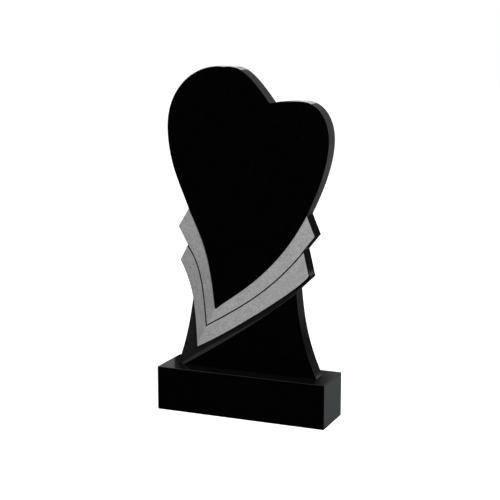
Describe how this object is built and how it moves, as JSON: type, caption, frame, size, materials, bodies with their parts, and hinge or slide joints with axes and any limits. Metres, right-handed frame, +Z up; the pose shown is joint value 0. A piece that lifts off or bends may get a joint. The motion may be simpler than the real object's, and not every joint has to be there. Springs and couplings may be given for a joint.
{
  "type": "headstone",
  "caption": "Upright granite headstone: a leaning heart above V-shaped ribbons and a flared foot, on a rectangular plinth.",
  "frame": {"origin": "middle of the plinth's underside", "axes": "+Z up; the carved face looks to -Y; +X runs along the width, to the right of someone who faces the stone"},
  "size_m": [0.6, 0.175, 1.1616],
  "materials": {
    "polished_black_granite": "polished",
    "carved_black_granite": "polished, with frosted light grey ribbons and honed dark grey ground"
  },
  "bodies": {
    "root": {"plinth": "polished_black_granite", "stele": "carved_black_granite"}
  },
  "joints": []
}
